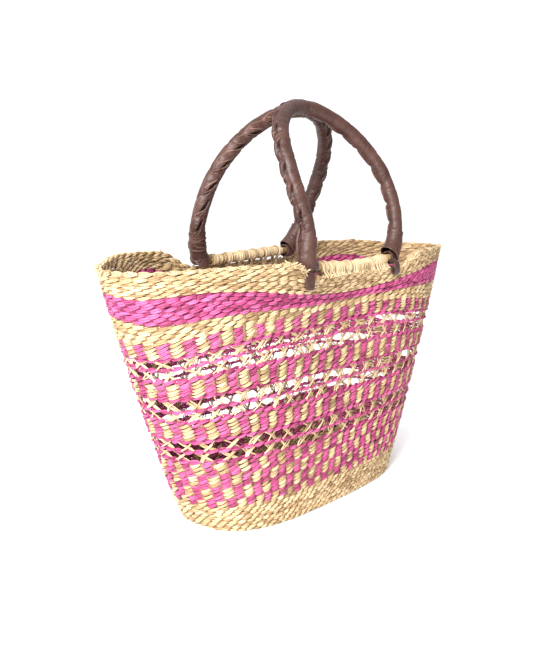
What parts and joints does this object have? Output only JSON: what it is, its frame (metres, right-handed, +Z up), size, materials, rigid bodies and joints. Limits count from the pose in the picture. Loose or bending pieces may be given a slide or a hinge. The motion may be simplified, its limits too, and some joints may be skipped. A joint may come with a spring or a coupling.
{
  "type": "market basket",
  "caption": "Flared oval grass market basket with pink and natural twined bands, open lace rows, and an arched leather-wrapped handle hinged on a straw-wound bar along each long side.",
  "frame": {"origin": "centre of the base, on the surface that the basket stands on", "axes": "+X along the length of the basket, +Z up, the front side with the nearer handle faces -Y"},
  "size_m": [0.4528, 0.1414, 0.3519],
  "materials": {
    "natural_grass": "satin twined elephant grass, undyed",
    "pink_grass": "satin twined elephant grass, dyed pink",
    "mixed_grass": "twined grass, one pink and one natural strand",
    "straw_winding": "matte straw wound in close turns",
    "cane": "matte split cane",
    "grass_core": "matte bundled grass",
    "leather": "dark brown hide with a soft sheen, creased at the bends"
  },
  "bodies": {
    "basket": {"base_panel": "natural_grass", "foot_band": "natural_grass", "checker_band": "mixed_grass", "divider_row_1": "pink_grass", "lace_band_1": "natural_grass", "divider_row_2": "pink_grass", "lace_band_2": "natural_grass", "divider_row_3": "pink_grass", "column_band_1": "mixed_grass", "divider_row_4": "pink_grass", "lace_band_3": "natural_grass", "divider_row_5": "pink_grass", "lace_band_4": "natural_grass", "divider_row_6": "pink_grass", "column_band_2": "mixed_grass", "divider_row_7": "pink_grass", "lace_band_5": "natural_grass", "divider_row_8": "pink_grass", "lace_band_6": "natural_grass", "divider_row_9": "pink_grass", "column_band_3": "mixed_grass", "shoulder_band": "natural_grass", "pink_band": "pink_grass", "rim_band": "natural_grass", "rim_border": "natural_grass", "front_bar_cane": "cane", "front_bar_winding": "straw_winding", "front_bar_ties": "straw_winding", "front_strap_tails": "leather", "back_bar_cane": "cane", "back_bar_winding": "straw_winding", "back_bar_ties": "straw_winding", "back_strap_tails": "leather"},
    "front_handle": {"front_handle_core": "grass_core", "front_handle_leather": "leather", "front_handle_lacing": "leather", "front_handle_cuffs": "leather", "front_handle_loops": "leather"},
    "back_handle": {"back_handle_core": "grass_core", "back_handle_leather": "leather", "back_handle_lacing": "leather", "back_handle_cuffs": "leather", "back_handle_loops": "leather"}
  },
  "joints": [
    {"name": "front_handle_hinge", "type": "hinge", "parent": "basket", "child": "front_handle", "pos_m": [0, -0.0585, 0.2145], "axis": [1, 0, 0], "range_deg": [-0.8, 80]},
    {"name": "back_handle_hinge", "type": "hinge", "parent": "basket", "child": "back_handle", "pos_m": [0, 0.0585, 0.2145], "axis": [-1, 0, 0], "range_deg": [-0.8, 80]}
  ]
}
